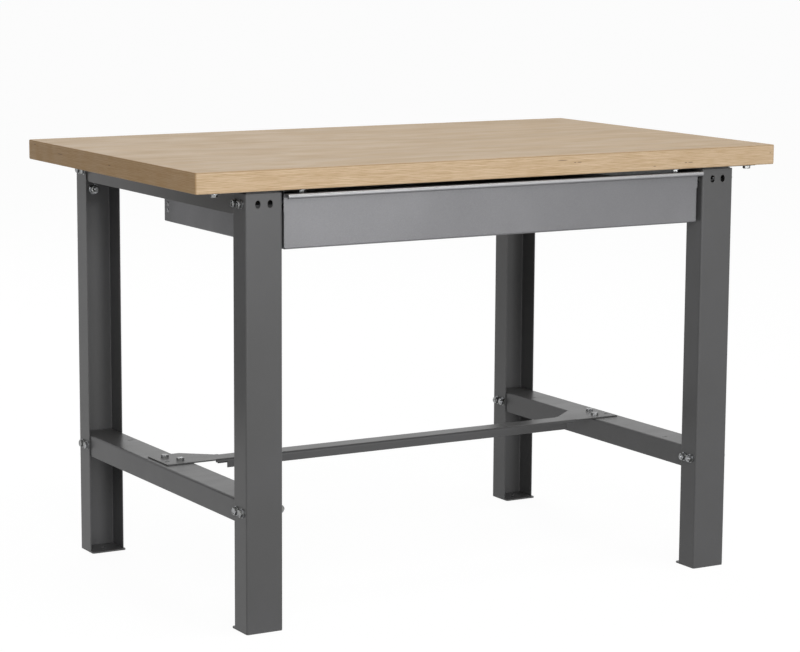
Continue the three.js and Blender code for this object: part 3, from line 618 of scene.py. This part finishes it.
# %% Fastener sizes in millimetres
ROUND_STEPS = 48
THREAD_PITCH, THREAD_DEPTH, THREAD_LEAD = 1.25, 0.65, 0.4
CHAMFER, WASHER_EASE, POINT_EASE, HEAD_DISH = 0.8, 0.15, 0.5, 0.25
# Shares of a width across flats: the circle where a chamfer ends, and the rim and floor of the head's dish
CHAMFER_CIRCLE, DISH_RIM, DISH_FLOOR = 0.97, 0.38, 0.34
# Shares of a pan head's height, and of a screw's radius near its point
SCREW_RIM, SCREW_DOME, SCREW_POINT = 0.4, 0.6, 0.5
SHARP_ANGLE = math.radians(35)
print("thread pitch mm:", THREAD_PITCH)


# %% Fastener surface
def hexagon_radius(angle, flats):
    """Distance from the axis to a hexagon of that width across flats: half of it over the cosine of the angle
    from the nearest flat's middle."""
    return flats / 2 / np.cos(np.mod(angle, math.pi / 3) - math.pi / 6)


def turned_points(profile):
    """Grid of points from profile rows (height, radius, flats, thread): a row is round, or a hexagon limited
    to the radius, or a thread whose radius is a triangle wave of height over pitch minus turns round the
    axis."""
    rows = np.array(profile, float)
    height, radius, flats, thread = (rows[:, k:k + 1] for k in range(4))
    angle = np.linspace(0, 2 * math.pi, ROUND_STEPS, endpoint=False)[None, :]
    hexagonal = np.minimum(hexagon_radius(angle, np.maximum(flats, 1e-6)), radius)
    wave = np.abs(np.mod(height / THREAD_PITCH - angle / (2 * math.pi), 1.0) - 0.5) * 2
    threaded = radius - THREAD_DEPTH * wave
    reach = np.where(flats > 0, hexagonal, np.where(thread > 0, threaded, radius))
    return np.stack([reach * np.cos(angle), reach * np.sin(angle), height + 0 * angle], axis=-1)


def closed_mesh(name, points):
    """Mesh of a grid whose columns go round and whose first and last rows are single points on the axis."""
    rows, columns, _ = points.shape
    inner = points[1:-1].reshape(-1, 3)
    vertices = np.concatenate([points[:1, 0], inner, points[-1:, 0]])
    ring = np.arange(columns)
    following = np.roll(ring, -1)
    first = 1 + np.arange(rows - 3)[:, None] * columns
    above = first + columns
    quads = np.stack([first + ring, first + following, above + following, above + ring], -1)
    last_ring = 1 + (rows - 3) * columns
    start_fan = np.stack([0 * ring, 1 + following, 1 + ring], -1)
    end_fan = np.stack([0 * ring + len(vertices) - 1, last_ring + ring, last_ring + following], -1)
    faces = quads.reshape(-1, 4).tolist() + start_fan.tolist() + end_fan.tolist()
    mesh = bpy.data.meshes.new(name)
    mesh.from_pydata(vertices.tolist(), [], faces)
    mesh.validate()
    mesh.set_sharp_from_angle(angle=SHARP_ANGLE)
    return mesh


def set_on_axis(points, start, along, across):
    """Profile points in millimetres moved to start, with their axis along one direction and their first
    hexagon corner towards another."""
    axes = np.array([across, np.cross(along, across), along], float)
    return np.array(start, float) + points * MM @ axes


print("steps round a fastener:", ROUND_STEPS)

# %% [markdown]
# ## Hexagon bolts
# The frame is held by ordinary M8 bolts. A head is chamfered on top only and a nut on both faces, and
# washers have eased rims. They could be separate meshes, but in place none of them moves on the bolt. So
# each is a few rows of one profile, stacked along the axis in the order in which they sit on it. The
# bolts up into the top have no nut and end in the wood.


# %% Profiles of head, nut, washer and thread
def disc_rows(bottom, top, radius):
    """A washer: flat faces and eased rims."""
    return [
        (bottom, radius - WASHER_EASE, 0, 0),
        (bottom + WASHER_EASE, radius, 0, 0),
        (top - WASHER_EASE, radius, 0, 0),
        (top, radius - WASHER_EASE, 0, 0),
    ]


def hexagon_rows(bottom, top, flats, chamfer_bottom, chamfer_top):
    """A hexagon between two heights, cut at either end by a cone from the flats' circle to the corners."""
    corner = flats / math.sqrt(3)
    circle = flats / 2 * CHAMFER_CIRCLE
    steps = np.linspace(0, 1, 4)
    rows = []
    if chamfer_bottom:
        rows += [(bottom + CHAMFER * t, circle + (corner - circle) * t, flats, 0) for t in steps]
    else:
        rows += [(bottom, corner, flats, 0)]
    if chamfer_top:
        rows += [(top - CHAMFER * (1 - t), corner + (circle - corner) * t, flats, 0) for t in steps]
    else:
        rows += [(top, corner, flats, 0)]
    return rows


def thread_rows(bottom, top, radius):
    """A thread end with a small lead-in, six rows to a turn of the helix."""
    heights = np.arange(bottom + THREAD_LEAD, top, THREAD_PITCH / 6)
    lead = [(bottom, 0, 0, 0), (bottom, radius - THREAD_DEPTH, 0, 0)]
    return lead + [(height, radius, 0, 1) for height in heights] + [(top, radius - THREAD_DEPTH, 0, 0)]


def bolt_profile(grip, shank, flats, head, washer, washer_thickness, nut, end, head_washer, nut_washer):
    """Rows of a bolt from its thread end to its head. Zero nut height leaves a plain shank."""
    rows = []
    z = 0.0
    if nut:
        rows += thread_rows(0.0, end, shank)
        z = end
        rows += hexagon_rows(z, z + nut, flats, True, True)
        z += nut
        if nut_washer:
            rows += disc_rows(z, z + washer_thickness, washer)
            z += washer_thickness
        rows += [(z, shank, 0, 0)]
    else:
        rows += [(0.0, 0, 0, 0), (0.0, shank - POINT_EASE, 0, 0), (POINT_EASE, shank, 0, 0)]
    z += grip
    rows += [(z, shank, 0, 0)]
    if head_washer:
        rows += disc_rows(z, z + washer_thickness, washer)
        z += washer_thickness
    rows += hexagon_rows(z, z + head, flats, False, True)
    z += head
    dish = z - HEAD_DISH
    return rows + [(z, flats * DISH_RIM, 0, 0), (dish, flats * DISH_FLOOR, 0, 0), (dish, 0, 0, 0)]


M8 = dict(shank=4.0, flats=13.0, head=5.3, washer=8.5, washer_thickness=1.6, end=2.5)
rail_profile = bolt_profile(grip=72.0, nut=6.5, head_washer=True, nut_washer=True, **M8)
plate_profile = bolt_profile(grip=4.5, nut=6.5, head_washer=False, nut_washer=True, **M8)
top_profile = bolt_profile(grip=22.0, nut=0.0, head_washer=True, nut_washer=False, **M8)
print("rows in a rail bolt:", len(rail_profile))

# %% [markdown]
# ## Rear leg bolts and runner screws
# Each rear leg carries a large round-headed bolt with a nut, and small pan-head screws hold the drawer's
# runners under the top. Both heads are domes, and a quarter ellipse in the profile draws them rounder
# than a bevelled disc would.


# %% Rear leg bolt and runner screw
def accessory_profile(end, nut, flats, washer, washer_thickness, shank, sheet, dome, dome_height):
    """Thread end, nut and washer inside the leg, and outside it a low dome: a quarter ellipse."""
    rows = thread_rows(0.0, end, shank) + hexagon_rows(end, end + nut, flats, True, True)
    z = end + nut
    rows += disc_rows(z, z + washer_thickness, washer)
    z += washer_thickness
    rows += [(z, shank, 0, 0), (z + sheet, shank, 0, 0)]
    z += sheet
    turn_up = np.linspace(0, math.pi / 2, 8)
    return rows + [(z + dome_height * math.sin(t), dome * math.cos(t), 0, 0) for t in turn_up]


def screw_profile(depth, shank, head, head_height):
    """Pointed shank with a shallow thread, and a pan head rounded by a quarter ellipse."""
    heights = np.arange(shank * 2, depth, THREAD_PITCH / 4)
    rim = depth + head_height * SCREW_RIM
    dome = head_height * SCREW_DOME
    rows = [(0, 0, 0, 0), (shank, shank * SCREW_POINT, 0, 0)]
    rows += [(height, shank, 0, 1) for height in heights]
    rows += [(depth, shank, 0, 0), (depth, head, 0, 0), (rim, head, 0, 0)]
    turn_up = np.linspace(0.15, math.pi / 2, 6)
    return rows + [(rim + dome * math.sin(t), head * math.cos(t), 0, 0) for t in turn_up]


rear_profile = accessory_profile(
    end=4.0,
    nut=8.0,
    flats=16.0,
    washer=10.5,
    washer_thickness=2.0,
    shank=5.0,
    sheet=2.0,
    dome=10.0,
    dome_height=4.0,
)
screw_rows = screw_profile(depth=17.2, shank=2.0, head=4.0, head_height=2.6)
print("rows in a rear bolt:", len(rear_profile), "in a screw:", len(screw_rows))

# %% [markdown]
# ## Fasteners in their places
# Every packed fastener is a plain solid of the right size in the right place. The detailed one takes over
# its axis and its end, so no place is written a second time.


# %% Place every fastener on its node
def add_fastener(node_name, profile, along, across):
    """Stands for a packed fastener: it starts at the node's end that looks against its direction."""
    low, high = (np.array(corner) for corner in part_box(node_name))
    along = np.array(along, float)
    start = (low + high) / 2
    axis = int(np.argmax(np.abs(along)))
    start[axis] = low[axis] if along[axis] > 0 else high[axis]
    points = set_on_axis(turned_points(profile), start, along, across)
    piece = bpy.data.objects.new(node_name + "_turned", closed_mesh(node_name + "_turned", points))
    piece.data.materials.append(zinc)
    link(piece)
    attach(piece, "bench")
    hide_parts(node_name)


# Each kind of fastener: its profile, the way from its end to its head, where None is outward, and the way
# that its first hexagon corner looks
fastener_kinds = {
    "rail_bolt": (rail_profile, None, (0, 1, 0)),
    "stretcher_bolt": (plate_profile, (0, 0, 1), (0, 1, 0)),
    "top_bolt": (top_profile, (0, 0, -1), (0, 1, 0)),
    "accessory_bolt": (rear_profile, (0, 1, 0), (0, 0, 1)),
    "runner_screw": (screw_rows, (0, 0, -1), (0, 1, 0)),
}
fastener_count = 0
for node_name in sorted(frame["nodes"]):
    outward = (-1, 0, 0) if "left" in node_name else (1, 0, 0)
    for kind, (profile, along, across) in fastener_kinds.items():
        if node_name.startswith(kind):
            add_fastener(node_name, profile, along or outward, across)
            fastener_count += 1
print("fasteners:", fastener_count)

# %% [markdown]
# ## Drawer rivets
# Two blind rivets on each side hold the drawer's back between the sides. Outside they show a low dome,
# inside the bulged end of the tube. Half spheres would do from afar, but the same turned surface as the
# bolts gives the whole rivet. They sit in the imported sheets' rivet holes and stay bright, because they go
# in after the paint.

# %% Rivets
RIVET_FROM_REAR = 14.5 * MM
RIVET_HEIGHTS = (21.5 * MM, 34.0 * MM)
RIVET_HEAD, RIVET_SHANK, RIVET_BULGE = 4.6, 2.0, 2.9
RIVET_TAIL, RIVET_GRIP, RIVET_DOME = 3.2, 2.7, 1.1


def rivet_profile():
    """Tail bulged as a half ellipse, straight shank through both sheets, head domed as a quarter ellipse."""
    half_tail = RIVET_TAIL / 2
    seat = RIVET_TAIL + RIVET_GRIP
    bulge_arc = np.linspace(-math.pi / 2, math.pi / 2, 9)[:-1]
    head_arc = np.linspace(0, math.pi / 2, 7)
    tail = [(half_tail + half_tail * math.sin(t), RIVET_BULGE * math.cos(t), 0, 0) for t in bulge_arc]
    dome = [(seat + RIVET_DOME * math.sin(t), RIVET_HEAD * math.cos(t), 0, 0) for t in head_arc]
    return tail + [(RIVET_TAIL, RIVET_SHANK, 0, 0), (seat, RIVET_SHANK, 0, 0)] + dome


rivet_points = turned_points(rivet_profile())
for side_name, sign, wall_x in (("left", -1, shell_low.x), ("right", 1, shell_high.x)):
    for number, rise in enumerate(RIVET_HEIGHTS, 1):
        inner_end = wall_x - sign * (RIVET_TAIL + RIVET_GRIP) * MM
        start = (inner_end, shell_high.y - RIVET_FROM_REAR, shell_low.z + rise)
        points = set_on_axis(rivet_points, start, (sign, 0, 0), (0, 1, 0))
        name = f"drawer_rivet_{side_name}_{number}"
        rivet = bpy.data.objects.new(name, closed_mesh(name, points))
        rivet.data.materials.append(zinc)
        link(rivet)
        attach(rivet, "drawer")
print("rivets:", 2 * len(RIVET_HEIGHTS))

# %% [markdown]
# ## Floor and backdrop
# The bench stands on a pale studio floor that runs out of sight. A white wall could close the picture,
# but plain white for the camera and for reflections is simpler: the floor glows almost to white for those
# rays, and a part of its own shading stays, so the feet keep their soft shadow. All other light meets a
# grey floor, which sends a little of it up under the bench. Seen from below, the floor is clear.

# %% Floor
FLOOR_REACH = 90.0
FLOOR_DROP = 0.3 * MM
FLOOR_GLOW = 0.94
FLOOR_SHADE = (0.1, 0.1, 0.1, 1.0)
FLOOR_BOUNCE = (0.6, 0.6, 0.6, 1.0)
PLAIN_WHITE = (1.0, 1.0, 1.0, 1.0)


def seen_directly(tree):
    """One for rays from the camera, from a mirror or through glass, and zero for all other light."""
    paths = tree.nodes.new("ShaderNodeLightPath").outputs
    seen = calculate(tree, "MAXIMUM", paths["Is Camera Ray"], paths["Is Glossy Ray"])
    return calculate(tree, "MAXIMUM", seen, paths["Is Transmission Ray"])


def studio_white():
    """A glow that only direct rays see, plus diffuse shading, and clear from below."""
    material = bpy.data.materials.new("studio_white")
    material.use_nodes = True
    tree = material.node_tree
    tree.nodes.clear()
    seen = seen_directly(tree)
    shade = mix_colour(tree, seen, FLOOR_BOUNCE, FLOOR_SHADE)
    diffuse = add_node(tree, "ShaderNodeBsdfDiffuse", Color=shade).outputs[0]
    glow = calculate(tree, "MULTIPLY", seen, FLOOR_GLOW)
    white = add_node(tree, "ShaderNodeEmission", Color=PLAIN_WHITE, Strength=glow).outputs[0]
    lit = add_node(tree, "ShaderNodeAddShader", i0=diffuse, i1=white).outputs[0]
    clear = tree.nodes.new("ShaderNodeBsdfTransparent").outputs[0]
    below = tree.nodes.new("ShaderNodeNewGeometry").outputs["Backfacing"]
    surface = add_node(tree, "ShaderNodeMixShader", i0=below, i1=lit, i2=clear).outputs[0]
    output = tree.nodes.new("ShaderNodeOutputMaterial")
    tree.links.new(surface, output.inputs["Surface"])
    return material


def flat_sheet(name, corners, material):
    """A flat sheet with four corners and one material."""
    mesh = bpy.data.meshes.new(name)
    mesh.from_pydata(corners, [], [(0, 1, 2, 3)])
    mesh.materials.append(material)
    sheet = bpy.data.objects.new(name, mesh)
    link(sheet)
    return sheet


square = [(-1, -1), (1, -1), (1, 1), (-1, 1)]
floor_corners = [(x * FLOOR_REACH, y * FLOOR_REACH, -FLOOR_DROP) for x, y in square]
floor = flat_sheet("floor", floor_corners, studio_white())
print("floor reach m:", FLOOR_REACH)

# %% [markdown]
# ## White room
# All round the bench the room is white. The camera and reflections see it in full, as they would see a
# studio's paper. As a light it is turned down to about a third, because at full strength it would light
# all sides alike and hide the folds. The view transform is Standard, so a colour comes out about as it is
# written.

# %% World
ROOM_LIGHT = 0.32
world = bpy.data.worlds.new("studio")
bpy.context.scene.world = world
world.use_nodes = True
sky = world.node_tree.nodes["Background"]
sky.inputs["Color"].default_value = PLAIN_WHITE
sky_strength = calculate(world.node_tree, "MAXIMUM", seen_directly(world.node_tree), ROOM_LIGHT)
world.node_tree.links.new(sky_strength, sky.inputs["Strength"])
bpy.context.scene.view_settings.view_transform = "Standard"
print("room light:", ROOM_LIGHT)

# %% [markdown]
# ## Lamps
# Soft lamps model the shape, because hard ones would draw black shadows under the top. A key stands at
# the front left, and a fill at the front right runs along the drawer's metallic front. A low lamp reaches
# in under the top, a narrow one above draws the line of the handle, and one behind lights the rear.

# %% Lamps
# Each lamp: place and target in metres, width and height in metres, and power in watts
LAMPS = {
    "key": ((-2.0, -4.1, 2.6), (0.0, 0.0, 0.5), 2.8, 1.6, 74.0),
    "fill": ((3.2, -8.0, 0.9), (0.0, 0.0, 0.4), 3.4, 1.6, 88.0),
    "low": ((-2.0, -7.5, 0.5), (0.0, 0.0, 0.4), 3.0, 0.8, 90.0),
    "overhead": ((0.6, -1.3, 3.2), (0.0, -0.1, 0.8), 2.4, 0.6, 20.0),
    "rear": ((0.6, 3.6, 4.4), (0.0, 0.0, 0.5), 2.6, 1.8, 60.0),
}


def add_lamp(name, place, target, width, height, watts):
    """A rectangular soft lamp that looks at a target."""
    lamp_data = bpy.data.lights.new(name, "AREA")
    lamp_data.shape = "RECTANGLE"
    lamp_data.size = width
    lamp_data.size_y = height
    lamp_data.energy = watts
    lamp = bpy.data.objects.new(name, lamp_data)
    aim = Vector(target) - Vector(place)
    lamp.rotation_euler = aim.to_track_quat("-Z", "Y").to_euler()
    lamp.location = place
    link(lamp)


for lamp_name, lamp_values in LAMPS.items():
    add_lamp(lamp_name, *lamp_values)
print("lamps:", len(LAMPS))

# %% [markdown]
# ## Black card
# Semi-gloss paint mirrors its surroundings, and in an all-white room a side face comes out as bright as
# the front, so the leg's fold is lost. Darker paint would be wrong from other sides. A photographer
# stands a black card where only that reflection finds it, and so does this scene: the card shows in
# mirror rays alone.

# %% Card
CARD_LEFT, CARD_RIGHT, CARD_BEHIND = -1.9, -0.95, 0.75
CARD_BOTTOM, CARD_TOP = 0.13, 1.3
CARD_COLOUR = (0.01, 0.01, 0.01, 1.0)
CARD_ROUGHNESS = 0.9

card_black = bpy.data.materials.new("card_black")
card_black.use_nodes = True
card_shader = card_black.node_tree.nodes["Principled BSDF"]
card_shader.inputs["Base Color"].default_value = CARD_COLOUR
card_shader.inputs["Roughness"].default_value = CARD_ROUGHNESS
card_corners = [
    (CARD_LEFT, CARD_BEHIND, CARD_BOTTOM),
    (CARD_RIGHT, CARD_BEHIND, CARD_BOTTOM),
    (CARD_RIGHT, CARD_BEHIND, CARD_TOP),
    (CARD_LEFT, CARD_BEHIND, CARD_TOP),
]
card = flat_sheet("black_card", card_corners, card_black)
card.visible_camera = False
card.visible_diffuse = False
card.visible_shadow = False
card.visible_transmission = False
print("card width m:", round(CARD_RIGHT - CARD_LEFT, 2))
